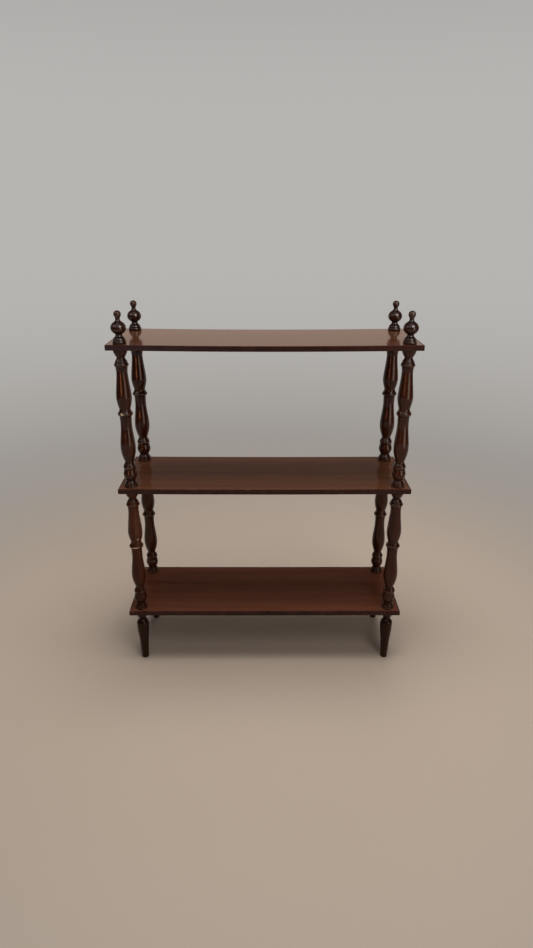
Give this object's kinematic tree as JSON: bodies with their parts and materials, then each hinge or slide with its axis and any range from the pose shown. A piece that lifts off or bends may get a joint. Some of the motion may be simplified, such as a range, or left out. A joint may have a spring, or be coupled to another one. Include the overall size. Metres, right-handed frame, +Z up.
{
  "type": "open bookcase",
  "caption": "Open-sided étagère bookcase: plain rectangular lacquered shelves held between turned double-baluster columns, with ball finials on top and tapered turned feet.",
  "frame": {"origin": "on the floor, under the middle of the shelves", "axes": "+X along the shelves to the viewer's right, +Y from the front to the back, +Z up"},
  "size_m": [0.86, 0.28, 1.1213],
  "materials": {
    "shelf_panel": "straight-grained red-brown veneer under clear gloss lacquer",
    "edge_lipping": "dark stained edge band, satin lacquer",
    "turned_wood": "turned, dark mahogany stain, gloss lacquer, worn on the edges of the rings",
    "stud_steel": "plain zinc-plated rod"
  },
  "bodies": {
    "root": {"bottom_shelf_panel": "shelf_panel", "bottom_shelf_lipping_front": "edge_lipping", "bottom_shelf_lipping_right": "edge_lipping", "bottom_shelf_lipping_rear": "edge_lipping", "bottom_shelf_lipping_left": "edge_lipping", "middle_shelf_panel": "shelf_panel", "middle_shelf_lipping_front": "edge_lipping", "middle_shelf_lipping_right": "edge_lipping", "middle_shelf_lipping_rear": "edge_lipping", "middle_shelf_lipping_left": "edge_lipping", "top_shelf_panel": "shelf_panel", "top_shelf_lipping_front": "edge_lipping", "top_shelf_lipping_right": "edge_lipping", "top_shelf_lipping_rear": "edge_lipping", "top_shelf_lipping_left": "edge_lipping", "foot_front_left": "turned_wood", "foot_front_right": "turned_wood", "foot_rear_left": "turned_wood", "foot_rear_right": "turned_wood", "lower_column_front_left": "turned_wood", "lower_column_front_right": "turned_wood", "lower_column_rear_left": "turned_wood", "lower_column_rear_right": "turned_wood", "upper_column_front_left": "turned_wood", "upper_column_front_right": "turned_wood", "upper_column_rear_left": "turned_wood", "upper_column_rear_right": "turned_wood", "finial_front_left": "turned_wood", "finial_front_right": "turned_wood", "finial_rear_left": "turned_wood", "finial_rear_right": "turned_wood", "bottom_stud_front_left": "stud_steel", "bottom_stud_front_right": "stud_steel", "bottom_stud_rear_left": "stud_steel", "bottom_stud_rear_right": "stud_steel", "middle_stud_front_left": "stud_steel", "middle_stud_front_right": "stud_steel", "middle_stud_rear_left": "stud_steel", "middle_stud_rear_right": "stud_steel", "top_stud_front_left": "stud_steel", "top_stud_front_right": "stud_steel", "top_stud_rear_left": "stud_steel", "top_stud_rear_right": "stud_steel"}
  },
  "joints": []
}
